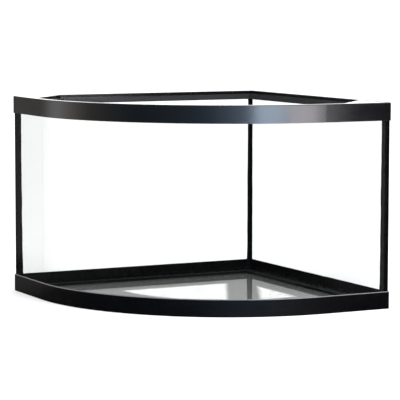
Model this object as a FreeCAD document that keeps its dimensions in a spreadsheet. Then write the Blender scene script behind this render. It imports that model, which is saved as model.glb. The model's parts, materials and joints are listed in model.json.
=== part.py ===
import FreeCAD
import Part
import Sketcher
import math
import os

# A quarter-round corner aquarium: two flat rear panes at a right angle, one bent front pane, a bottom
# pane, black silicone in every joint, and a moulded black frame round the top and the bottom.
#
# Every piece is drawn on the tank's plan. In the plan the rear corner is at (0, 0), the left rear side
# runs along +x and the right rear side along +y. The plan is a square whose front corner is rounded to
# a large radius, so an inset of it is the same shape with the same centre and a smaller radius. Each
# body's placement then turns the plan so that the rear corner points along +Y and the bent front
# along -Y, with the origin at the bottom centre of the tank's box. +Z is up.

DIMENSIONS = {
    "leg": (610, "outer length of each rear side"),
    "bend": (450, "outer radius of the rounded front"),
    "height": (438, "overall height"),
    "wall": (2.5, "thickness of the moulded frames"),
    "film": (0.5, "silicone film between a frame and the glass"),
    "pane": (6, "thickness of the rear and front glass"),
    "joint": (1, "structural silicone between two panes"),
    "floor_pane": (8, "thickness of the bottom glass"),
    "rim_front": (38, "depth of the top frame's skirt round the front"),
    "rim_rear": (20, "depth of the top frame's skirt along the rear sides"),
    "rim_return": (24, "length that the deep skirt goes on along each rear side"),
    "lid_step": (7, "depth of the lid recess below the rim"),
    "lid_ledge": (10, "width of the ledge that a lid rests on"),
    "lip_depth": (19, "depth of the top frame's inner lips below the rim"),
    "web": (122, "size of the webs across the front corners, along both sides together"),
    "film_depth": (15, "height of the bonding film inside the top frame"),
    "base_skirt": (37.5, "height of the bottom frame's skirt"),
    "shelf_level": (5.5, "height of the shelf that the panes stand on"),
    "shelf_width": (30, "width of the shelf, from the outside of the skirt"),
    "base_film": (30, "height of the bonding film inside the bottom frame"),
    "corner_round": (4, "rounding of the frames' upright corners"),
    "rim_round": (2, "rounding of the frames' outer upper edges"),
    "foot_round": (0.8, "rounding of the frames' outer lower edges"),
    "rear_bead": (9, "leg of the silicone bead in the rear corner"),
    "left_bead": (12, "leg of the bead in the left front corner"),
    "right_bead": (12, "leg of the bead in the right front corner"),
    "floor_bead": (7, "leg of the beads along the bottom"),
    "feather": (0.6, "thickness of a bead at its edges"),
}

# Insets of the plan, measured from the outside of the frames.
GLASS_OUT = "(dims.wall + dims.film)"
GLASS_IN = "(dims.wall + dims.film + dims.pane)"
FLANGE_OUT = "(dims.wall + 2 * dims.film + dims.pane)"
FLANGE_IN = "(2 * dims.wall + 2 * dims.film + dims.pane)"
FLOOR_EDGE = "(dims.wall + dims.film + dims.pane + dims.joint)"
LEDGE_IN = "(2 * dims.wall + 2 * dims.film + dims.pane + dims.lid_ledge)"
LIP_OUT = "(dims.wall + 2 * dims.film + dims.pane + dims.lid_ledge)"

# Heights above the surface that the tank stands on.
GLASS_TOP = "(dims.height - dims.wall - dims.film)"
RIM_UNDER = "(dims.height - dims.wall)"
LEDGE_TOP = "(dims.height - dims.lid_step)"
LEDGE_UNDER = "(dims.height - dims.lid_step - dims.wall)"
LIP_LOW = "(dims.height - dims.lip_depth)"
FLOOR_TOP = "(dims.shelf_level + dims.floor_pane)"

# Sizes of the diagonal edge that a web cuts across a front corner.
WEB_EDGE = "dims.web"
WEB_WALL = "(dims.web - dims.wall * sqrt(2))"
WEB_LEDGE = "(dims.web + dims.lid_ledge * sqrt(2))"
WEB_LIP = "(dims.web + (dims.lid_ledge - dims.wall) * sqrt(2))"

# The plan's turn about +Z, and the rear corner's place on +Y that centres the tank's box.
PLAN_TURN = 225
REAR_Y = (
    "((dims.leg - dims.bend) * sqrt(2) + dims.bend + dims.corner_round * (sqrt(2) - 1)) / 2"
)

document = FreeCAD.newDocument("corner_aquarium")


def make_sheet():
    """The spreadsheet of driving dimensions, one named cell each."""
    sheet = document.addObject("Spreadsheet::Sheet", "dims")
    for row, (name, (value, meaning)) in enumerate(DIMENSIONS.items(), start=1):
        sheet.set(f"A{row}", meaning)
        sheet.set(f"B{row}", str(value))
        sheet.setAlias(f"B{row}", name)
    document.recompute()
    return sheet


dims = make_sheet()


def size(expression):
    """The present value of an expression in the sheet's dimensions."""
    value = dims.evalExpression(expression)
    return float(getattr(value, "Value", value))


def plan_outline(inset):
    """The corners of the whole plan, inset. The third corner starts the rounded front."""
    far = f"(dims.leg - {inset})"
    middle = "(dims.leg - dims.bend)"
    return [
        (inset, inset, None),
        (far, inset, None),
        (far, middle, f"(dims.bend - {inset})"),
        (middle, far, None),
        (inset, far, None),
    ]


def webbed_outline(inset, cut):
    """The plan, inset, with a diagonal across each front corner in place of the corner."""
    far = f"(dims.leg - {inset})"
    middle = "(dims.leg - dims.bend)"
    along = f"(dims.leg - {cut} + {inset})"
    across = f"({cut} - {inset})"
    return [
        (inset, inset, None),
        (along, inset, None),
        (far, across, None),
        (far, middle, f"(dims.bend - {inset})"),
        (middle, far, None),
        (across, far, None),
        (inset, along, None),
    ]


def front_strip(outer, inner, left_start, right_start):
    """A strip between two insets that follows the front from one rear side to the other."""
    far_out = f"(dims.leg - {outer})"
    far_in = f"(dims.leg - {inner})"
    middle = "(dims.leg - dims.bend)"
    return [
        (far_out, left_start, None),
        (far_out, middle, f"(dims.bend - {outer})"),
        (middle, far_out, None),
        (right_start, far_out, None),
        (right_start, far_in, None),
        (middle, far_in, f"-(dims.bend - {inner})"),
        (far_in, middle, None),
        (far_in, left_start, None),
    ]


def rectangle(low_x, low_y, high_x, high_y):
    """The corners of a rectangle along the plan's axes."""
    return [
        (low_x, low_y, None),
        (high_x, low_y, None),
        (high_x, high_y, None),
        (low_x, high_y, None),
    ]


def arc_between(start, end, radius):
    """An arc from start to end. A positive radius bulges to the right of the way, else to the left."""
    chord = end - start
    middle = (start + end) * 0.5
    height = math.sqrt(max(radius**2 - (chord.Length / 2) ** 2, 0.0))
    left = FreeCAD.Vector(-chord.y, chord.x, 0).normalize()
    centre = middle + left * math.copysign(height, radius)
    first, last = (start, end) if radius > 0 else (end, start)
    turn = [math.atan2(point.y - centre.y, point.x - centre.x) for point in (first, last)]
    circle = Part.Circle(centre, FreeCAD.Vector(0, 0, 1), abs(radius))
    return Part.ArcOfCircle(circle, turn[0], turn[1])


def bind(sketch, constraint, expression):
    """Adds a constraint whose value is the expression."""
    index = sketch.addConstraint(constraint)
    sketch.setExpression(f"Constraints[{index}]", expression)


def place_point(sketch, geometry, end, x, y):
    """Ties one end of a line or arc to a place in the plan."""
    origin = -1
    for kind, axis, expression in (("DistanceX", -2, x), ("DistanceY", -1, y)):
        value = size(expression)
        if abs(value) < 1e-9:
            sketch.addConstraint(Sketcher.Constraint("PointOnObject", geometry, end, axis))
        else:
            bind(sketch, Sketcher.Constraint(kind, origin, 1, geometry, end, value), expression)


def draw_profile(sketch, corners):
    """Draws a closed profile. Each corner gives its place and the radius of the edge that leaves it."""
    points = [FreeCAD.Vector(size(x), size(y), 0) for x, y, _ in corners]
    starts = []
    for number, (_, _, radius) in enumerate(corners):
        start, end = points[number], points[(number + 1) % len(points)]
        if radius is None:
            geometry = sketch.addGeometry(Part.LineSegment(start, end))
            starts.append((geometry, 1, 2))
        else:
            reach = size(radius)
            geometry = sketch.addGeometry(arc_between(start, end, reach))
            starts.append((geometry, 1, 2) if reach > 0 else (geometry, 2, 1))
    for number, (x, y, radius) in enumerate(corners):
        geometry, first, last = starts[number]
        following, following_first, _ = starts[(number + 1) % len(starts)]
        sketch.addConstraint(
            Sketcher.Constraint("Coincident", geometry, last, following, following_first)
        )
        place_point(sketch, geometry, first, x, y)
        if radius is not None:
            bind(
                sketch,
                Sketcher.Constraint("Radius", geometry, abs(size(radius))),
                f"abs({radius})",
            )


def new_body(label):
    """An empty body, turned from the plan to the tank's own frame."""
    body = document.addObject("PartDesign::Body", label)
    body.Label = label
    turn = FreeCAD.Rotation(FreeCAD.Vector(0, 0, 1), PLAN_TURN)
    body.Placement = FreeCAD.Placement(FreeCAD.Vector(0, size(REAR_Y), 0), turn)
    body.setExpression("Placement.Base.y", REAR_Y)
    return body


def add_pad(body, name, profiles, low, high):
    """Pads closed profiles from the height low to the height high. A second profile is a hole."""
    sketch = body.newObject("Sketcher::SketchObject", f"{body.Name}_{name}_sketch")
    plane = [item for item in body.Origin.OriginFeatures if item.Role == "XY_Plane"][0]
    sketch.AttachmentSupport = [(plane, "")]
    sketch.MapMode = "FlatFace"
    sketch.setExpression("AttachmentOffset.Base.z", low)
    for corners in profiles:
        draw_profile(sketch, corners)
    pad = body.newObject("PartDesign::Pad", f"{body.Name}_{name}")
    pad.Profile = sketch
    pad.setExpression("Length", f"{high} - {low}")
    document.recompute()
    return pad


def add_ring(body, name, outer, inner, low, high):
    """Pads the ring between two outlines of the plan."""
    return add_pad(body, name, [outer, inner], low, high)


def edge_names(feature, wanted):
    """The names of the feature's edges that the test picks."""
    return [
        f"Edge{number}" for number, edge in enumerate(feature.Shape.Edges, start=1) if wanted(edge)
    ]


def add_dressing(body, kind, name, base, wanted, expression):
    """Rounds or chamfers the edges of the base feature that the test picks."""
    names = edge_names(base, wanted)
    if not names:
        raise RuntimeError(f"{body.Label} {name}: no edge to work on")
    dressing = body.newObject(f"PartDesign::{kind}", f"{body.Name}_{name}")
    dressing.Base = (base, names)
    dressing.setExpression("Radius" if kind == "Fillet" else "Size", expression)
    document.recompute()
    return dressing


def upright_corner(edge):
    """True for an upright edge at one of the plan's three outer corners."""
    ends = [vertex.Point for vertex in edge.Vertexes]
    if len(ends) != 2 or (ends[0] - ends[1]).cross(FreeCAD.Vector(0, 0, 1)).Length > 1e-6:
        return False
    leg = size("dims.leg")
    corners = [(0, 0), (leg, 0), (0, leg)]
    return any(math.hypot(ends[0].x - x, ends[0].y - y) < 1e-6 for x, y in corners)


def outer_loop(feature, level):
    """A test for the edges round the outside of the feature's flat face at a height."""
    height = size(level)
    loops = [
        face.OuterWire
        for face in feature.Shape.Faces
        if abs(face.BoundBox.ZMin - height) < 1e-6 and abs(face.BoundBox.ZMax - height) < 1e-6
    ]
    widest = max(loops, key=lambda wire: wire.BoundBox.DiagonalLength)
    edges = widest.Edges
    return lambda edge: any(edge.isSame(other) for other in edges)


def make_top_frame():
    """The rim: skirt, top wall with corner webs, channel for the glass, and a ledge for a lid."""
    body = new_body("top_frame")
    outside, skirt_in = plan_outline("0"), plan_outline("dims.wall")
    skirt_low = "(dims.height - dims.rim_rear)"
    recess = webbed_outline(FLANGE_IN, WEB_EDGE)
    recess_out = webbed_outline(FLANGE_OUT, WEB_WALL)
    opening = webbed_outline(LEDGE_IN, WEB_LEDGE)
    opening_out = webbed_outline(LIP_OUT, WEB_LIP)
    add_ring(body, "skirt", outside, skirt_in, skirt_low, "dims.height")
    add_ring(body, "top_wall", outside, recess, RIM_UNDER, "dims.height")
    add_ring(body, "flange", plan_outline(FLANGE_OUT), plan_outline(FLANGE_IN), LIP_LOW, RIM_UNDER)
    add_ring(body, "recess_wall", recess_out, recess, LEDGE_UNDER, RIM_UNDER)
    add_ring(body, "ledge", recess_out, opening, LEDGE_UNDER, LEDGE_TOP)
    add_ring(body, "lip", opening_out, opening, LIP_LOW, LEDGE_UNDER)
    deep = add_pad(
        body, "deep_skirt", [deep_skirt_profile()], "(dims.height - dims.rim_front)", skirt_low
    )
    corners = add_dressing(body, "Fillet", "corners", deep, upright_corner, "dims.corner_round")
    top = outer_loop(corners, "dims.height")
    add_dressing(body, "Fillet", "rim_edge", corners, top, "dims.rim_round")
    return body


def deep_skirt_profile():
    """The plan of the skirt's deep part: the front and a short return along each rear side."""
    turn_back = "(dims.leg - dims.rim_return)"
    far_in = "(dims.leg - dims.wall)"
    middle = "(dims.leg - dims.bend)"
    return [
        (turn_back, "0", None),
        ("dims.leg", "0", None),
        ("dims.leg", middle, "dims.bend"),
        (middle, "dims.leg", None),
        ("0", "dims.leg", None),
        ("0", turn_back, None),
        ("dims.wall", turn_back, None),
        ("dims.wall", far_in, None),
        (middle, far_in, "-(dims.bend - dims.wall)"),
        (far_in, middle, None),
        (far_in, "dims.wall", None),
        (turn_back, "dims.wall", None),
    ]


def make_bottom_frame():
    """The base: a skirt round the glass, a shelf under the panes, and a rib under the shelf's edge."""
    body = new_body("bottom_frame")
    outside = plan_outline("0")
    shelf_in = plan_outline("dims.shelf_width")
    shelf_under = "(dims.shelf_level - dims.wall)"
    add_ring(body, "skirt", outside, plan_outline("dims.wall"), "0", "dims.base_skirt")
    add_ring(body, "shelf", outside, shelf_in, shelf_under, "dims.shelf_level")
    rib_out = plan_outline("(dims.shelf_width - dims.wall)")
    rib = add_ring(body, "rib", rib_out, shelf_in, "0", shelf_under)
    corners = add_dressing(body, "Fillet", "corners", rib, upright_corner, "dims.corner_round")
    top = outer_loop(corners, "dims.base_skirt")
    upper = add_dressing(body, "Fillet", "upper_edge", corners, top, "dims.rim_round")
    foot = outer_loop(upper, "0")
    add_dressing(body, "Fillet", "lower_edge", upper, foot, "dims.foot_round")
    return body


def extrude(label, corners, low, high):
    """A body with one pad."""
    body = new_body(label)
    add_pad(body, "solid", [corners], low, high)
    return body


def make_panes():
    """The four panes. Each upright corner is a butt joint of one pane over the end of the next."""
    far_out = f"(dims.leg - {GLASS_OUT})"
    left = rectangle(GLASS_OUT, GLASS_OUT, far_out, GLASS_IN)
    right = rectangle(GLASS_OUT, FLOOR_EDGE, GLASS_IN, far_out)
    front = front_strip(GLASS_OUT, GLASS_IN, FLOOR_EDGE, FLOOR_EDGE)
    return [
        extrude("left_rear_glass", left, "dims.shelf_level", GLASS_TOP),
        extrude("right_rear_glass", right, "dims.shelf_level", GLASS_TOP),
        extrude("front_bent_glass", front, "dims.shelf_level", GLASS_TOP),
        extrude("bottom_glass", plan_outline(FLOOR_EDGE), "dims.shelf_level", FLOOR_TOP),
    ]


def make_joints():
    """The structural silicone between the panes, upright and round the bottom pane."""
    far_out = f"(dims.leg - {GLASS_OUT})"
    far_in = f"(dims.leg - {GLASS_IN})"
    upright = {
        "rear_corner_joint": rectangle(GLASS_OUT, GLASS_IN, GLASS_IN, FLOOR_EDGE),
        "left_corner_joint": rectangle(far_in, GLASS_IN, far_out, FLOOR_EDGE),
        "right_corner_joint": rectangle(GLASS_IN, far_in, FLOOR_EDGE, far_out),
    }
    flat = {
        "left_floor_joint": rectangle(GLASS_IN, GLASS_IN, far_in, FLOOR_EDGE),
        "right_floor_joint": rectangle(GLASS_IN, FLOOR_EDGE, FLOOR_EDGE, far_in),
        "front_floor_joint": front_strip(GLASS_IN, FLOOR_EDGE, FLOOR_EDGE, FLOOR_EDGE),
    }
    made = [
        extrude(label, corners, "dims.shelf_level", GLASS_TOP) for label, corners in upright.items()
    ]
    made += [
        extrude(label, corners, "dims.shelf_level", FLOOR_TOP) for label, corners in flat.items()
    ]
    return made


def bead_profile(leg, at_x, at_y, toward_x, toward_y):
    """A bead's section in an upright corner: two legs along the panes and a hollow tooled face."""

    def place(along_x, along_y):
        return (f"({at_x} {toward_x} {along_x})", f"({at_y} {toward_y} {along_y})")

    hollow = f"({leg} - dims.feather)"
    corners = [
        (*place("0", "0"), None),
        (*place(leg, "0"), None),
        (*place(leg, "dims.feather"), f"-{hollow}"),
        (*place("dims.feather", leg), None),
        (*place("0", leg), None),
    ]
    if toward_x == toward_y:
        return corners
    # A mirrored corner is walked the other way round, so that its inside stays on the left.
    walked = [corners[0], corners[4], corners[3], corners[2], corners[1]]
    turned = [(x, y, None) for x, y, _ in walked]
    turned[2] = (walked[2][0], walked[2][1], f"-{hollow}")
    return turned


def make_upright_beads():
    """The tooled silicone beads inside the three upright corners, from the floor to the rim's lip."""
    far_in = f"(dims.leg - {GLASS_IN})"
    sections = {
        "rear_corner_bead": bead_profile("dims.rear_bead", GLASS_IN, GLASS_IN, "+", "+"),
        "left_corner_bead": bead_profile("dims.left_bead", far_in, GLASS_IN, "-", "+"),
        "right_corner_bead": bead_profile("dims.right_bead", GLASS_IN, far_in, "+", "-"),
    }
    return [extrude(label, corners, FLOOR_TOP, LIP_LOW) for label, corners in sections.items()]


def make_floor_beads():
    """The beads along the bottom, each with a sloped face from the wall down to the floor pane."""
    far_in = f"(dims.leg - {GLASS_IN})"
    inner = f"({GLASS_IN} + dims.floor_bead)"
    rear_start = f"({GLASS_IN} + dims.rear_bead)"
    left_start = f"({GLASS_IN} + dims.left_bead)"
    right_start = f"({GLASS_IN} + dims.right_bead)"
    left_end = f"({far_in} - dims.left_bead)"
    right_end = f"({far_in} - dims.right_bead)"
    runs = {
        "left_floor_bead": rectangle(rear_start, GLASS_IN, left_end, inner),
        "right_floor_bead": rectangle(GLASS_IN, rear_start, inner, right_end),
        "front_floor_bead": front_strip(GLASS_IN, inner, left_start, right_start),
    }
    high = f"({FLOOR_TOP} + dims.floor_bead)"
    made = []
    for label, corners in runs.items():
        body = extrude(label, corners, FLOOR_TOP, high)
        solid = body.Tip
        slope = "(dims.floor_bead - dims.feather)"
        add_dressing(body, "Chamfer", "slope", solid, inner_top_edge(inner, high), slope)
        made.append(body)
    return made


def inner_top_edge(inset, level):
    """A test for the long edges at a height that follow the plan at an inset."""
    depth, height = size(inset), size(level)
    leg, middle = size("dims.leg"), size("dims.leg - dims.bend")
    bend = size("dims.bend")

    def inset_of(point):
        if point.x > middle and point.y > middle:
            return bend - math.hypot(point.x - middle, point.y - middle)
        return min(point.x, point.y, leg - point.x, leg - point.y)

    def wanted(edge):
        box = edge.BoundBox
        if abs(box.ZMin - height) > 1e-6 or abs(box.ZMax - height) > 1e-6:
            return False
        first, last = edge.ParameterRange
        places = [edge.valueAt(first + (last - first) * share) for share in (0.05, 0.5, 0.95)]
        return all(abs(inset_of(place) - depth) < 1e-3 for place in places)

    return wanted


def make_frame_bonds():
    """The silicone films that hold the frames to the glass."""
    upper = new_body("top_frame_bond")
    low = f"({RIM_UNDER} - dims.film_depth)"
    skirt_in, glass_out = plan_outline("dims.wall"), plan_outline(GLASS_OUT)
    glass_in, flange_out = plan_outline(GLASS_IN), plan_outline(FLANGE_OUT)
    add_ring(upper, "cap", skirt_in, flange_out, GLASS_TOP, RIM_UNDER)
    add_ring(upper, "outer", skirt_in, glass_out, low, GLASS_TOP)
    add_ring(upper, "inner", glass_in, flange_out, low, GLASS_TOP)
    lower = new_body("bottom_frame_bond")
    add_ring(
        lower, "film", skirt_in, glass_out, "dims.shelf_level", "(dims.shelf_level + dims.base_film)"
    )
    return [upper, lower]


def check_document(nodes):
    """Stops if any object failed or any piece isn't one sound solid."""
    document.recompute()
    for item in document.Objects:
        if "Invalid" in item.State or "Error" in item.State:
            raise RuntimeError(f"{item.Label}: {item.State}")
    for node in nodes:
        shape = node.Shape
        if shape.isNull() or not shape.isValid() or len(shape.Solids) != 1:
            raise RuntimeError(f"{node.Label}: unsound shape")


def write_nodes(nodes):
    """Writes each piece to its own file and prints its box and volume."""
    os.makedirs("parts", exist_ok=True)
    for node in nodes:
        node.Shape.exportStep(f"parts/{node.Label}.step")
        box = node.Shape.optimalBoundingBox(False)
        print(
            f"{node.Label}: x {box.XMin:.1f}..{box.XMax:.1f} y {box.YMin:.1f}..{box.YMax:.1f} "
            f"z {box.ZMin:.1f}..{box.ZMax:.1f} mm, {node.Shape.Volume / 1000:.1f} cm3"
        )


pieces = [make_top_frame(), make_bottom_frame()]
pieces += make_panes()
pieces += make_joints()
pieces += make_upright_beads()
pieces += make_floor_beads()
pieces += make_frame_bonds()
check_document(pieces)
write_nodes(pieces)
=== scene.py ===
import json
import math

import bmesh
import bpy
from mathutils import Matrix, Vector, noise


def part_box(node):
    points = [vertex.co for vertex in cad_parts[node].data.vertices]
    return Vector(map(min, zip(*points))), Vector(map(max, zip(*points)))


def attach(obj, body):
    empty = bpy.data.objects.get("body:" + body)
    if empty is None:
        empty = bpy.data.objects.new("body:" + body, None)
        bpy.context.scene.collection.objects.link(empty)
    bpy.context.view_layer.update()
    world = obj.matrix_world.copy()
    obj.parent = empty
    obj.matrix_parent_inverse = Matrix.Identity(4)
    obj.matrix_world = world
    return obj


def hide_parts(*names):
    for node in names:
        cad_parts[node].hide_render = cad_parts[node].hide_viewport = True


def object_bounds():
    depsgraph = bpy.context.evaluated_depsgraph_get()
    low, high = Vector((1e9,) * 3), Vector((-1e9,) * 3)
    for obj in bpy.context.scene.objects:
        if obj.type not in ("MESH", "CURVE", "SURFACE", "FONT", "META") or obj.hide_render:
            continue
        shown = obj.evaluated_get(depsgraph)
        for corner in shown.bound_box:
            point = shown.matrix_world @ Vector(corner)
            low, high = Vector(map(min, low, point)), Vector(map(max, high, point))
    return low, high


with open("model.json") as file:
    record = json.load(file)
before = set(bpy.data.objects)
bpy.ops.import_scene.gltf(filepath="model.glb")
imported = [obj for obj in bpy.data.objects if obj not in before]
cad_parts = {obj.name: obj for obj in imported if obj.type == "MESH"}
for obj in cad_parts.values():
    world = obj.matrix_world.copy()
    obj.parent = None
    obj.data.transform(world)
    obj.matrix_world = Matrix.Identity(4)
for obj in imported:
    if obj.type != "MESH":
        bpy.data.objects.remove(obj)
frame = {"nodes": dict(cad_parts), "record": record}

# A quarter-round corner aquarium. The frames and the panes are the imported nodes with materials. The
# silicone beads inside the tank are built here, because a tooled bead is never quite even.

CAD_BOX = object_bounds()
UP = Vector((0.0, 0.0, 1.0))
MM = 0.001
GLUE_LINE = 0.05 * MM                           # keeps a bead's flat backs just clear of the panes' faces
UPRIGHT_SHARE, FLOOR_SHARE = 0.93, 0.88         # the beads' mean legs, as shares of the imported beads' legs
UPRIGHT_WAVER, FLOOR_WAVER = 0.10, 0.12         # how far their legs wander about the mean
LOW_FLARE, FOOT_FLARE = 0.16, 0.7               # how much wider an upright bead is low down and at its foot
CORNER_FILL = 7 * MM                            # the height over which the wider foot thins out


# ---------------------------------------------------------------- the plan, from the frame

def inner_corners():
    """The tank's three inner glass corners in plan, from the boxes of the beads that fill them."""
    rear_low, rear_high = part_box("rear_corner_bead")
    left_low, left_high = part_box("left_corner_bead")
    right_low, right_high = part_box("right_corner_bead")
    rear = Vector((0.0, rear_high.y, 0.0))
    left = Vector((left_low.x, (left_low.y + left_high.y) / 2, 0.0))
    right = Vector((right_high.x, (right_low.y + right_high.y) / 2, 0.0))
    return rear, left, right


REAR, LEFT, RIGHT = inner_corners()
SIDE = (LEFT - REAR).length                     # inner length of a rear side
ALONG_LEFT = (LEFT - REAR).normalized()         # from the rear corner along the left rear pane
ALONG_RIGHT = (RIGHT - REAR).normalized()       # from the rear corner along the right rear pane
FRONT_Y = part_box("front_floor_bead")[0].y       # innermost face of the bent pane, at its middle
BEND = (SIDE * math.sqrt(2) - (REAR.y - FRONT_Y)) / (math.sqrt(2) - 1)
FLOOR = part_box("bottom_glass")[1].z             # top of the bottom pane
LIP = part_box("rear_corner_bead")[1].z           # where the beads end, under the rim's lip
HEIGHT = CAD_BOX[1].z
LID_STEP = 7 * MM                               # how far the lid's ledge lies below the top
BETWEEN_FRAMES = (100 * MM, 120 * MM)           # heights above the bottom frame and below the top one
MIDDLE = (REAR + LEFT + RIGHT) / 3              # a place well inside the plan
EDGE_RADIUS = 1.2 * MM                          # how wide the rubbed edges of the plastic are

VIEW = math.radians(17.83)                      # the camera's direction, from the front towards +X
ACROSS = Vector((math.cos(VIEW), math.sin(VIEW), 0.0))      # at right angles to it, towards the right

# Two bright patches of painted light are drawn on the floor, and the bottom pane shows them. No lamp casts
# them. Round them the floor has painted shade: along the skirts, and in a stripe from the rear corner
# towards the camera.
SKIRT_BORDERS = (150 * MM, 103 * MM)            # along the left and the right rear skirt
FRONT_BORDER = 190 * MM                         # along the front skirt
CORNER_STRIPE = (60 * MM, 10 * MM)              # to the left and to the right of the rear corner

# The studio in satin reflections: a direction in degrees, 0 in front and 90 towards +X, with the
# brightness and the tint there. It is brightest behind the tank. One lighter strip stands on the left
# and one in front, to the right. The rest is dim.
COOL, PLAIN, WARM = (0.70, 0.98, 1.32), (1.0, 1.0, 1.0), (1.06, 1.0, 0.95)
STUDIO_ROUND = (
    (-180, 2.6, PLAIN),
    (-150, 2.6, PLAIN),
    (-125, 0.25, WARM),
    (-107, 0.22, WARM),
    (-90, 1.60, PLAIN),
    (-78, 1.10, WARM),
    (-64, 0.45, WARM),
    (-33, 0.20, COOL),
    (-8, 0.30, COOL),
    (10, 0.55, COOL),
    (26, 1.70, COOL),
    (50, 0.80, PLAIN),
    (62, 0.20, PLAIN),
    (72, 0.04, PLAIN),
    (120, 0.10, PLAIN),
    (150, 2.6, PLAIN),
    (180, 2.6, PLAIN),
)

# The same for the sharp reflections in the outside of the panes: a faint strip at either side.
STUDIO_SHARP = (
    (-180, 0.0, PLAIN),
    (-118, 0.0, PLAIN),
    (-112, 0.10, PLAIN),
    (-100, 0.10, PLAIN),
    (-94, 0.0, PLAIN),
    (66, 0.0, PLAIN),
    (70, 0.10, PLAIN),
    (77, 0.10, PLAIN),
    (82, 0.0, PLAIN),
    (180, 0.0, PLAIN),
)


def plan_point(along_left, along_right, height=0.0):
    """The place at two distances from the inner rear corner."""
    return REAR + ALONG_LEFT * along_left + ALONG_RIGHT * along_right + UP * height


# ---------------------------------------------------------------- node helpers

def new_material(name):
    """An empty node material with its output, and its node tree."""
    material = bpy.data.materials.new(name)
    material.use_nodes = True
    material.node_tree.nodes.clear()
    output = material.node_tree.nodes.new("ShaderNodeOutputMaterial")
    return material, material.node_tree, output


def add_node(tree, kind, inputs=None, **settings):
    """A node with its settings and its inputs. An input is a value or another node's socket."""
    node = tree.nodes.new(kind)
    for name, value in settings.items():
        setattr(node, name, value)
    for name, value in (inputs or {}).items():
        if isinstance(value, bpy.types.NodeSocket):
            tree.links.new(value, node.inputs[name])
        else:
            node.inputs[name].default_value = value
    return node


def noise_at(tree, scale, detail=3.0, roughness=0.5, stretch=(1.0, 1.0, 1.0)):
    """Noise in the row frame, so it doesn't depend on any unwrapping."""
    place = add_node(tree, "ShaderNodeTexCoord").outputs["Object"]
    mapped = add_node(tree, "ShaderNodeMapping", {"Vector": place, "Scale": stretch})
    inputs = {"Vector": mapped.outputs[0], "Scale": scale, "Detail": detail, "Roughness": roughness}
    return add_node(tree, "ShaderNodeTexNoise", inputs).outputs["Fac"]


def remap(tree, value, low, high, new_low, new_high):
    """The value's range low to high, moved to another range and held inside it."""
    inputs = {"Value": value, "From Min": low, "From Max": high, "To Min": new_low, "To Max": new_high}
    return add_node(tree, "ShaderNodeMapRange", inputs).outputs[0]


def math_node(tree, operation, first, second):
    """One arithmetic step."""
    node = add_node(tree, "ShaderNodeMath", operation=operation)
    for socket, value in zip(node.inputs, (first, second)):
        if isinstance(value, bpy.types.NodeSocket):
            tree.links.new(value, socket)
        else:
            socket.default_value = value
    return node.outputs[0]


def blend_colour(tree, share, first, second):
    """Two colours mixed by a share."""
    node = add_node(tree, "ShaderNodeMix", data_type="RGBA")
    tree.links.new(share, node.inputs["Factor"])
    for socket, value in ((node.inputs[6], first), (node.inputs[7], second)):
        if isinstance(value, bpy.types.NodeSocket):
            tree.links.new(value, socket)
        else:
            socket.default_value = (*value, 1.0)
    return node.outputs[2]


def bump(tree, height, strength, distance, normal=None):
    """A bump from a height."""
    inputs = {"Height": height, "Strength": strength, "Distance": distance}
    if normal is not None:
        inputs["Normal"] = normal
    return add_node(tree, "ShaderNodeBump", inputs).outputs[0]


def vector_node(tree, operation, first, second, output=0):
    """One step with vectors."""
    node = add_node(tree, "ShaderNodeVectorMath", {0: first, 1: second}, operation=operation)
    return node.outputs[output]


def rear_depths(tree, place):
    """How far a place lies in front of the left rear pane's inner face, and of the right one's."""
    offset = vector_node(tree, "SUBTRACT", place, REAR)
    return [vector_node(tree, "DOT_PRODUCT", offset, along, "Value") for along in (ALONG_RIGHT, ALONG_LEFT)]


def look_round(tree, direction, table):
    """The colour that a table gives for the direction round the tank."""
    parts = add_node(tree, "ShaderNodeSeparateXYZ", {"Vector": direction})
    front = math_node(tree, "MULTIPLY", parts.outputs["Y"], -1.0)
    turn = math_node(tree, "ARCTAN2", parts.outputs["X"], front)
    share = remap(tree, turn, -math.pi, math.pi, 0.0, 1.0)
    ramp = add_node(tree, "ShaderNodeValToRGB", {"Fac": share})
    stops = ramp.color_ramp.elements
    stops.remove(stops[-1])
    for degrees, level, tint in table:
        stop = stops[0] if degrees == -180 else stops.new((degrees + 180.0) / 360.0)
        stop.color = (*(level * part for part in tint), 1.0)
    return ramp.outputs[0]


def side_strips(tree, direction):
    """The faint strips at either side, for reflections that have passed through no glass."""
    passed = add_node(tree, "ShaderNodeLightPath").outputs["Transmission Depth"]
    first = math_node(tree, "LESS_THAN", passed, 0.5)
    return math_node(tree, "MULTIPLY", look_round(tree, direction, STUDIO_SHARP), first)


def connect_paths(tree, straight, satin, mirrored, output):
    """Chooses by a ray's path: straight or through glass, after a satin reflection, or after a mirror."""
    path = add_node(tree, "ShaderNodeLightPath")
    reflected = math_node(tree, "GREATER_THAN", path.outputs["Glossy Depth"], 0.5)
    sharp = add_node(tree, "ShaderNodeMixShader", {"Fac": path.outputs["Is Singular Ray"]})
    tree.links.new(satin.outputs[0], sharp.inputs[1])
    tree.links.new(mirrored.outputs[0], sharp.inputs[2])
    mix = add_node(tree, "ShaderNodeMixShader", {"Fac": reflected})
    tree.links.new(straight.outputs[0], mix.inputs[1])
    tree.links.new(sharp.outputs[0], mix.inputs[2])
    tree.links.new(mix.outputs[0], output.inputs["Surface"])


# ---------------------------------------------------------------- materials

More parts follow.
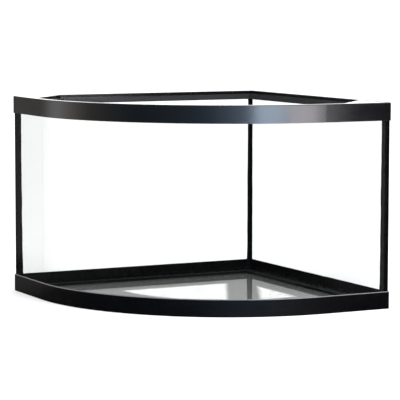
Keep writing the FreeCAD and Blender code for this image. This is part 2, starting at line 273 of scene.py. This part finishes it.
def moulded_plastic():
    """Satin black injection-moulded plastic: fine grain, faint flow, dust, slightly rubbed edges, a painted
    highlight on its upward faces, and painted light on the top frame's inner faces.
    """
    material, tree, output = new_material("moulded_plastic")
    geometry = add_node(tree, "ShaderNodeNewGeometry")
    place, facing = geometry.outputs["Position"], geometry.outputs["Normal"]
    upward = add_node(tree, "ShaderNodeSeparateXYZ", {"Vector": facing}).outputs["Z"]
    level = add_node(tree, "ShaderNodeSeparateXYZ", {"Vector": place}).outputs["Z"]
    in_top_frame = remap(tree, level, *BETWEEN_FRAMES, 0.0, 1.0)
    grain = noise_at(tree, 2600.0, 2.0)
    flow = noise_at(tree, 9.0, 4.0, stretch=(1.0, 1.0, 3.0))
    dust = noise_at(tree, 150.0, 8.0, 0.72, stretch=(0.2, 0.2, 1.0))
    dust_share = remap(tree, dust, 0.55, 0.80, 0.0, 0.10)
    colour = blend_colour(tree, dust_share, (0.0012, 0.0012, 0.0015), (0.018, 0.018, 0.020))
    colour = blend_colour(tree, rubbed_edges(tree, facing), colour, (0.045, 0.045, 0.048))
    # Painted highlight: the upward faces, above all the bottom frame's top edge, are painted lighter along
    # with their dust.
    dust_and_highlight = dust_and_painted_highlight(tree, upward, in_top_frame)
    colour = blend_colour(tree, dust_and_highlight, colour, (0.13, 0.13, 0.13))
    # Painted light: the top frame's faces that look into the tank are painted lighter, as if lit, up to the
    # lid's ledge.
    painted_lit_inner = math_node(tree, "MULTIPLY", in_top_frame, inner_faces(tree, place, facing, level))
    colour = blend_colour(tree, painted_lit_inner, colour, (0.030, 0.030, 0.031))
    roughness = remap(tree, flow, 0.3, 0.7, 0.17, 0.22)
    roughness = math_node(tree, "ADD", roughness, math_node(tree, "MULTIPLY", dust_share, 0.5))
    roughness = math_node(tree, "ADD", roughness, matt_rear_edge(tree, place, upward))
    normal = bump(tree, grain, 0.16, 0.0002)
    normal = bump(tree, flow, 0.10, 0.0016, normal)
    shader = add_node(
        tree, "ShaderNodeBsdfPrincipled",
        {"Base Color": colour, "Roughness": roughness, "Normal": normal, "IOR": 1.50},
    )
    tree.links.new(shader.outputs[0], output.inputs["Surface"])
    return material


def rubbed_edges(tree, facing):
    """The outer edges, in patches: 0 on a flat face and up to 0.8 where a rounded edge would turn."""
    rounded = add_node(tree, "ShaderNodeBevel", {"Radius": EDGE_RADIUS}, samples=6).outputs[0]
    turned = vector_node(tree, "DOT_PRODUCT", rounded, facing, "Value")
    edge = remap(tree, turned, 0.995, 0.86, 0.0, 1.0)
    patches = remap(tree, noise_at(tree, 120.0, 5.0, 0.7), 0.42, 0.7, 0.1, 0.8)
    return math_node(tree, "MULTIPLY", edge, patches)


def dust_and_painted_highlight(tree, upward, in_top_frame):
    """Dust with a painted highlight on the faces that look upward: all of it on the bottom frame and a tenth
    on the top one.
    """
    on_top = remap(tree, upward, 0.15, 0.55, 0.0, 1.0)
    return math_node(tree, "MULTIPLY", on_top, remap(tree, in_top_frame, 0.0, 1.0, 1.0, 0.1))


def inner_faces(tree, place, facing, level):
    """The faces that look into the tank, up to the lid's ledge. Light is painted on them: they are coloured
    lighter, as if lit.
    """
    offset = vector_node(tree, "SUBTRACT", place, MIDDLE)
    outward = vector_node(tree, "DOT_PRODUCT", offset, facing, "Value")
    inward = remap(tree, outward, -40 * MM, 0.0, 1.0, 0.0)
    ledge = HEIGHT - LID_STEP
    return math_node(tree, "MULTIPLY", inward, remap(tree, level, ledge, ledge + 0.5 * MM, 1.0, 0.0))


def matt_rear_edge(tree, place, upward):
    """Extra roughness for the upward faces over the rear panes, and for 2 mm in front of them."""
    depth = math_node(tree, "MINIMUM", *rear_depths(tree, place))
    over_panes = remap(tree, depth, 2 * MM, 3 * MM, 1.0, 0.0)
    return math_node(tree, "MULTIPLY", over_panes, remap(tree, upward, 0.5, 0.9, 0.0, 0.75))


def black_silicone():
    """Cured silicone: deep black and slightly wavy, with faint streaks, and a painted sheen down the backs
    of the front corner beads, against the bent pane.
    """
    material, tree, output = new_material("black_silicone")
    waves = noise_at(tree, 70.0, 3.0, 0.5, stretch=(1.0, 1.0, 0.35))
    fine = noise_at(tree, 900.0, 3.0)
    streak = noise_at(tree, 300.0, 5.0, 0.6, stretch=(0.05, 0.05, 1.0))
    film = remap(tree, streak, 0.50, 0.80, 0.0, 0.5)
    colour = blend_colour(tree, film, (0.0008, 0.0008, 0.0010), (0.008, 0.008, 0.009))
    # Painted sheen: a pale mauve stripe on the left front bead's back, and a fainter grey one on the right.
    pale = blend_colour(tree, right_side(tree), (0.060, 0.052, 0.063), (0.016, 0.016, 0.014))
    colour = blend_colour(tree, painted_sheen_stripe(tree), colour, pale)
    roughness = remap(tree, waves, 0.3, 0.7, 0.24, 0.34)
    normal = bump(tree, fine, 0.06, 0.0003)
    normal = bump(tree, waves, 0.05, 0.0010, normal)
    shader = add_node(
        tree, "ShaderNodeBsdfPrincipled",
        {"Base Color": colour, "Roughness": roughness, "Normal": normal, "IOR": 1.41,
         "Specular IOR Level": 0.12},
    )
    tree.links.new(shader.outputs[0], output.inputs["Surface"])
    return material


def right_side(tree):
    """0 on the left of the tank and 1 on the right."""
    place = add_node(tree, "ShaderNodeNewGeometry").outputs["Position"]
    across = add_node(tree, "ShaderNodeSeparateXYZ", {"Vector": place}).outputs["X"]
    return remap(tree, across, -0.1, 0.1, 0.0, 1.0)


def painted_sheen_stripe(tree):
    """Where the painted sheen lies, on the back of a front corner bead against the bent pane: 1 along the
    middle of its width.
    """
    depths = rear_depths(tree, add_node(tree, "ShaderNodeNewGeometry").outputs["Position"])
    on_pane = remap(tree, math_node(tree, "MAXIMUM", *depths), SIDE - 0.4 * MM, SIDE - 0.2 * MM, 0.0, 1.0)
    across = math_node(tree, "MINIMUM", *depths)
    wobble = remap(tree, noise_at(tree, 60.0, 4.0, 0.6), 0.3, 0.7, -1.2 * MM, 1.2 * MM)
    across = math_node(tree, "ADD", across, wobble)
    rise = remap(tree, across, 1.5 * MM, 3.5 * MM, 0.0, 1.0)
    fall = remap(tree, across, 8.5 * MM, 11.0 * MM, 1.0, 0.0)
    return math_node(tree, "MULTIPLY", on_pane, math_node(tree, "MULTIPLY", rise, fall))


def clear_glass():
    """Clear float glass: real refraction, a green tint that shows along its edges, and faint smears."""
    material, tree, output = new_material("clear_glass")
    smear = noise_at(tree, 7.0, 5.0, 0.6, stretch=(1.0, 1.0, 2.2))
    fleck = noise_at(tree, 160.0, 6.0, 0.7)
    film = remap(tree, math_node(tree, "MULTIPLY", smear, fleck), 0.24, 0.42, 0.0, 1.0)
    colour = blend_colour(tree, film, (1.0, 1.0, 1.0), (0.97, 0.98, 0.975))
    normal = bump(tree, noise_at(tree, 3.0, 2.0), 0.02, 0.001)
    glass = add_node(
        tree, "ShaderNodeBsdfPrincipled",
        {"Base Color": colour, "Roughness": 0.0, "Normal": normal, "IOR": 1.51,
         "Transmission Weight": 1.0},
    )
    # Lamps light what stands behind a pane as if the pane were a faint tint.
    clear = add_node(tree, "ShaderNodeBsdfTransparent", {"Color": (0.96, 0.98, 0.97, 1.0)})
    path = add_node(tree, "ShaderNodeLightPath")
    mix = add_node(tree, "ShaderNodeMixShader", {"Fac": path.outputs["Is Shadow Ray"]})
    tree.links.new(glass.outputs[0], mix.inputs[1])
    tree.links.new(clear.outputs[0], mix.inputs[2])
    tree.links.new(mix.outputs[0], output.inputs["Surface"])
    tint = add_node(tree, "ShaderNodeVolumeAbsorption", {"Color": (0.62, 0.90, 0.76, 1.0), "Density": 4.0})
    tree.links.new(tint.outputs[0], output.inputs["Volume"])
    return material


def floor_material():
    """The pale studio floor. Under the tank it carries painted light and shade, and in reflections it has a
    look of its own.
    """
    material, tree, output = new_material("studio_floor")
    speckle = remap(tree, noise_at(tree, 300.0, 4.0), 0.3, 0.7, 0.90, 0.92)
    pale = add_node(tree, "ShaderNodeCombineColor", {"Red": speckle, "Green": speckle, "Blue": speckle})
    matt = add_node(tree, "ShaderNodeBsdfDiffuse", {"Color": pale.outputs[0]})
    place = add_node(tree, "ShaderNodeTexCoord").outputs["Object"]
    share, level = under_glow(tree, place)
    under = add_node(tree, "ShaderNodeEmission", {"Strength": level})
    straight = add_node(tree, "ShaderNodeMixShader", {"Fac": share})
    tree.links.new(matt.outputs[0], straight.inputs[1])
    tree.links.new(under.outputs[0], straight.inputs[2])
    away = add_node(tree, "ShaderNodeVectorMath", {0: place}, operation="LENGTH").outputs["Value"]
    far = remap(tree, away, 0.8, 2.6, 0.09, 1.0)
    glow = add_node(
        tree, "ShaderNodeEmission", {"Color": look_round(tree, place, STUDIO_ROUND), "Strength": far}
    )
    sharp_level = math_node(tree, "MAXIMUM", side_strips(tree, place), 0.02)
    mirrored = add_node(tree, "ShaderNodeEmission", {"Strength": sharp_level})
    connect_paths(tree, straight, glow, mirrored, output)
    return material


def under_glow(tree, place):
    """The floor under the tank as seen through glass: where this look applies, and how bright it is.

    At a low angle the floor shows the two patches of painted light. From higher up it is evenly pale, with
    painted shade along its borders.
    """
    from_left, from_right = rear_depths(tree, place)
    middle = plan_point(SIDE - BEND, SIDE - BEND)
    from_front = math_node(tree, "SUBTRACT", BEND, vector_node(tree, "DISTANCE", place, middle, "Value"))
    lit = lit_patches(tree, place, from_left, from_right)
    lit = math_node(tree, "MINIMUM", lit, math_node(tree, "SUBTRACT", from_front, FRONT_BORDER))
    low_level = remap(tree, lit, -4 * MM, 6 * MM, 0.005, 3.6)
    inside = math_node(tree, "MINIMUM", math_node(tree, "MINIMUM", from_left, from_right), from_front)
    high_level = remap(tree, inside, 0.0, 60 * MM, 0.30, 1.05)
    facing = add_node(tree, "ShaderNodeLayerWeight", {"Blend": 0.5}).outputs["Facing"]
    low = remap(tree, facing, 0.80, 0.88, 0.0, 1.0)
    high = math_node(tree, "SUBTRACT", 1.0, low)
    low_level = math_node(tree, "MULTIPLY", low_level, low)
    level = math_node(tree, "ADD", low_level, math_node(tree, "MULTIPLY", high_level, high))
    seen = add_node(tree, "ShaderNodeLightPath").outputs["Is Transmission Ray"]
    share = math_node(tree, "MULTIPLY", remap(tree, inside, -4 * MM, 0.0, 0.0, 1.0), seen)
    return share, level


def lit_patches(tree, place, from_left, from_right):
    """How far a place lies inside the nearer bright patch. It is negative outside both of them."""
    offset = vector_node(tree, "SUBTRACT", place, REAR)
    across = vector_node(tree, "DOT_PRODUCT", offset, ACROSS, "Value")
    left_of_corner = math_node(tree, "SUBTRACT", -CORNER_STRIPE[0], across)
    right_of_corner = math_node(tree, "SUBTRACT", across, CORNER_STRIPE[1])
    past_left = math_node(tree, "SUBTRACT", from_left, SKIRT_BORDERS[0])
    past_right = math_node(tree, "SUBTRACT", from_right, SKIRT_BORDERS[1])
    left = math_node(tree, "MINIMUM", past_left, left_of_corner)
    right = math_node(tree, "MINIMUM", past_right, right_of_corner)
    return math_node(tree, "MAXIMUM", left, right)


# ---------------------------------------------------------------- silicone beads

def wander(place, seed, amount):
    """A smooth, repeatable wandering about 1."""
    return 1.0 + amount * noise.noise(Vector((place * 23.0, seed * 7.31, seed * 1.7)))


def tooled_section(corner, first, second, first_leg, second_leg, steps=9):
    """A bead's section: along one pane, over the hollow face that a finger leaves, back along the other."""
    toe = 0.35 * MM
    corner = corner + (first + second) * GLUE_LINE
    section = [corner, corner + first * first_leg]
    for step in range(steps + 1):
        turn = math.pi / 2 * step / steps
        on_first = first_leg * (1.0 - math.sin(turn)) + toe * math.sin(turn)
        on_second = second_leg * (1.0 - math.cos(turn)) + toe
        section.append(corner + first * on_first + second * on_second)
    section.append(corner + second * second_leg)
    return section


def skin_sections(name, sections, material):
    """A closed mesh through a row of sections that all have the same number of points."""
    count = len(sections[0])
    vertices = [point for section in sections for point in section]
    faces = []
    for row in range(len(sections) - 1):
        for column in range(count):
            following = (column + 1) % count
            faces.append((
                row * count + column,
                row * count + following,
                (row + 1) * count + following,
                (row + 1) * count + column,
            ))
    last = (len(sections) - 1) * count
    faces.append(tuple(reversed(range(count))))
    faces.append(tuple(last + column for column in range(count)))
    mesh = bpy.data.meshes.new(name)
    mesh.from_pydata(vertices, [], faces)
    mesh.validate()
    piece = bpy.data.objects.new(name, mesh)
    bpy.context.scene.collection.objects.link(piece)
    mesh.materials.append(material)
    recalculate_normals(mesh)
    for polygon in mesh.polygons:
        polygon.use_smooth = len(polygon.vertices) == 4
    return piece


def recalculate_normals(mesh):
    """Turns every face outwards."""
    shape = bmesh.new()
    shape.from_mesh(mesh)
    bmesh.ops.recalc_face_normals(shape, faces=shape.faces)
    shape.to_mesh(mesh)
    shape.free()


def upright_bead(node, corner, first, second, seed, material):
    """A bead up a corner, a little wider towards the floor, where more silicone is pressed in."""
    low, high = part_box(node)
    leg = max(high.x - low.x, high.y - low.y) / math.sqrt(2)
    rows = 110                                  # they lie closer together near the floor
    sections = []
    for row in range(rows + 1):
        share = (row / rows) ** 1.5
        height = FLOOR + (LIP - FLOOR) * share
        foot = math.exp((FLOOR - height) / CORNER_FILL)
        flare = 1.0 + LOW_FLARE * (1.0 - share) ** 2 + FOOT_FLARE * foot
        first_leg = leg * flare * wander(height, seed, UPRIGHT_WAVER) * UPRIGHT_SHARE
        second_leg = leg * flare * wander(height, seed + 5, UPRIGHT_WAVER) * UPRIGHT_SHARE
        place = corner + UP * height
        sections.append(tooled_section(place, first, second, first_leg, second_leg))
    piece = skin_sections(node + "_tooled", sections, material)
    finish_piece(piece, node)


def wall_path(kind):
    """Places along the foot of a wall, each with the direction into the tank."""
    if kind == "left":
        return [(plan_point(SIDE * share, 0.0), ALONG_RIGHT) for share in steps_between(0.0, 1.0, 120)]
    if kind == "right":
        return [(plan_point(0.0, SIDE * share), ALONG_LEFT) for share in steps_between(0.0, 1.0, 120)]
    straight = SIDE - BEND
    path = [(plan_point(SIDE, straight * share), -ALONG_LEFT) for share in steps_between(0.0, 1.0, 32)]
    for share in steps_between(0.0, 1.0, 140)[1:]:
        turn = math.pi / 2 * share
        outward = ALONG_LEFT * math.cos(turn) + ALONG_RIGHT * math.sin(turn)
        path.append((plan_point(straight, straight) + outward * BEND, -outward))
    for share in steps_between(0.0, 1.0, 32)[1:]:
        path.append((plan_point(straight * (1.0 - share), SIDE), -ALONG_RIGHT))
    return path


def steps_between(low, high, count):
    """Evenly spaced values, both ends among them."""
    return [low + (high - low) * step / count for step in range(count + 1)]


def floor_bead(node, kind, seed, material):
    """A bead along the foot of a wall."""
    low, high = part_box(node)
    leg = high.z - low.z
    sections = []
    travelled = 0.0
    before = None
    for place, inward in wall_path(kind):
        travelled += (place - before).length if before is not None else 0.0
        before = place
        flat_leg = leg * wander(travelled, seed, FLOOR_WAVER) * FLOOR_SHARE
        wall_leg = leg * wander(travelled, seed + 3, FLOOR_WAVER) * FLOOR_SHARE
        sections.append(tooled_section(place + UP * FLOOR, inward, UP, flat_leg, wall_leg))
    piece = skin_sections(node + "_tooled", sections, material)
    finish_piece(piece, node)


def finish_piece(piece, node):
    """Hides the imported node that the piece stands in for, and hangs the piece on the root body."""
    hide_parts(node)
    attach(piece, "root")


# ---------------------------------------------------------------- the object

def paint_nodes(plastic, silicone, glass):
    """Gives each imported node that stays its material."""
    finishes = {"frame_plastic": plastic, "black_silicone": silicone, "clear_glass": glass}
    for entry in frame["record"]["subparts"]:
        node = frame["nodes"][entry["node"]]
        for slot in node.material_slots:
            slot.material = finishes[entry["material_slot"]]


def build_beads(silicone):
    """The six tooled beads inside the tank."""
    upright_bead("rear_corner_bead", REAR, ALONG_LEFT, ALONG_RIGHT, 1, silicone)
    upright_bead("left_corner_bead", LEFT, -ALONG_LEFT, ALONG_RIGHT, 2, silicone)
    upright_bead("right_corner_bead", RIGHT, ALONG_LEFT, -ALONG_RIGHT, 3, silicone)
    floor_bead("left_floor_bead", "left", 4, silicone)
    floor_bead("right_floor_bead", "right", 5, silicone)
    floor_bead("front_floor_bead", "front", 6, silicone)


# ---------------------------------------------------------------- the studio

def make_floor():
    """A wide pale floor."""
    mesh = bpy.data.meshes.new("studio_floor")
    reach = 60.0
    corners = [(-reach, -reach, 0.0), (reach, -reach, 0.0), (reach, reach, 0.0), (-reach, reach, 0.0)]
    mesh.from_pydata(corners, [], [(0, 1, 2, 3)])
    floor = bpy.data.objects.new("studio_floor", mesh)
    bpy.context.scene.collection.objects.link(floor)
    mesh.materials.append(floor_material())


def leave_out_panes():
    """What the lamps light: everything but the panes, so that the lamps' shapes don't show in them."""
    collection = bpy.data.collections.new("panes_left_out")
    for entry in frame["record"]["subparts"]:
        if entry["material_slot"] == "clear_glass":
            collection.objects.link(frame["nodes"][entry["node"]])
    for link in collection.collection_objects:
        link.light_linking.link_state = "EXCLUDE"
    return collection


def softbox(name, azimuth, distance, height, width, tall, power, colour, receivers):
    """A soft lamp that faces the tank. Azimuth 0 is in front, and it grows towards +X."""
    lamp = bpy.data.lights.new(name, "AREA")
    lamp.shape = "RECTANGLE"
    lamp.size, lamp.size_y = width, tall
    lamp.energy = power
    lamp.color = colour
    holder = bpy.data.objects.new(name, lamp)
    turn = math.radians(azimuth)
    holder.location = (distance * math.sin(turn), -distance * math.cos(turn), height)
    aim = Vector((0.0, 0.0, HEIGHT / 2)) - holder.location
    holder.rotation_euler = aim.to_track_quat("-Z", "Y").to_euler()
    holder.visible_camera = False
    holder.visible_transmission = False
    holder.light_linking.receiver_collection = receivers
    bpy.context.scene.collection.objects.link(holder)


def make_lamps():
    """Three upright softboxes right of the front, and a large one above."""
    receivers = leave_out_panes()
    softbox("cool_softbox", 41.0, 1.0, 0.45, 0.28, 0.7, 5.3, (0.74, 0.91, 1.12), receivers)
    softbox("key_softbox", 57.5, 1.0, 0.45, 0.28, 0.7, 4.9, (1.03, 0.98, 1.06), receivers)
    softbox("edge_softbox", 67.3, 1.0, 0.45, 0.06, 0.7, 0.50, (1.0, 1.0, 1.0), receivers)
    softbox("top_softbox", 10.0, 1.2, 3.0, 2.5, 2.5, 12.0, (1.0, 1.0, 1.0), receivers)


def make_world():
    """A white studio, with one look in satin reflections and another in sharp ones.

    In sharp reflections it is dark in front, grey behind and above, with a faint strip at either side.
    """
    world = bpy.data.worlds.new("studio")
    bpy.context.scene.world = world
    world.use_nodes = True
    world.cycles.sampling_method = "NONE"
    tree = world.node_tree
    tree.nodes.clear()
    white = add_node(tree, "ShaderNodeBackground", {"Color": (1.0, 1.0, 1.0, 1.0), "Strength": 1.5})
    direction = add_node(tree, "ShaderNodeTexCoord").outputs["Generated"]
    parts = add_node(tree, "ShaderNodeSeparateXYZ", {"Vector": direction})
    height = parts.outputs["Z"]
    inputs = {
        "Color": look_round(tree, direction, STUDIO_ROUND),
        "Strength": remap(tree, height, 0.3, 0.8, 1.0, 0.35),
    }
    satin = add_node(tree, "ShaderNodeBackground", inputs)
    behind = remap(tree, parts.outputs["Y"], 0.35, 0.85, 0.02, 0.48)
    above = remap(tree, height, 0.35, 0.9, 0.0, 0.5)
    strips = side_strips(tree, direction)
    level = math_node(tree, "MAXIMUM", math_node(tree, "MAXIMUM", behind, above), strips)
    mirrored = add_node(tree, "ShaderNodeBackground", {"Color": (1.0, 1.0, 1.0, 1.0), "Strength": level})
    output = add_node(tree, "ShaderNodeOutputWorld")
    connect_paths(tree, white, satin, mirrored, output)


def make_camera():
    """A long lens a little to the right of the front and a little above it."""
    camera = bpy.data.objects.new("camera", bpy.data.cameras.new("camera"))
    camera.data.lens = 181.67
    camera.data.sensor_width = 36.0
    camera.data.clip_end = 200.0
    distance, elevation, roll = 4.5263, math.radians(5.751), 0.00139
    target = Vector((-0.0326, 0.0340, 0.2050))
    back = Vector((
        math.sin(VIEW) * math.cos(elevation),
        -math.cos(VIEW) * math.cos(elevation),
        math.sin(elevation),
    ))
    turn = back.to_track_quat("Z", "Y").to_matrix().to_4x4()
    camera.matrix_world = (
        Matrix.Translation(target + back * distance) @ turn @ Matrix.Rotation(roll, 4, "Z")
    )
    bpy.context.scene.collection.objects.link(camera)
    bpy.context.scene.camera = camera


def set_look():
    """Plain tones, and enough light bounces for panes seen through panes."""
    scene = bpy.context.scene
    scene.view_settings.view_transform = "Standard"
    scene.cycles.max_bounces = 18
    scene.cycles.glossy_bounces = 8
    scene.cycles.transmission_bounces = 18
    scene.cycles.transparent_max_bounces = 24
    scene.cycles.caustics_reflective = False
    scene.cycles.caustics_refractive = False


silicone_finish = black_silicone()
paint_nodes(moulded_plastic(), silicone_finish, clear_glass())
build_beads(silicone_finish)
make_floor()
make_world()
make_lamps()
make_camera()
set_look()
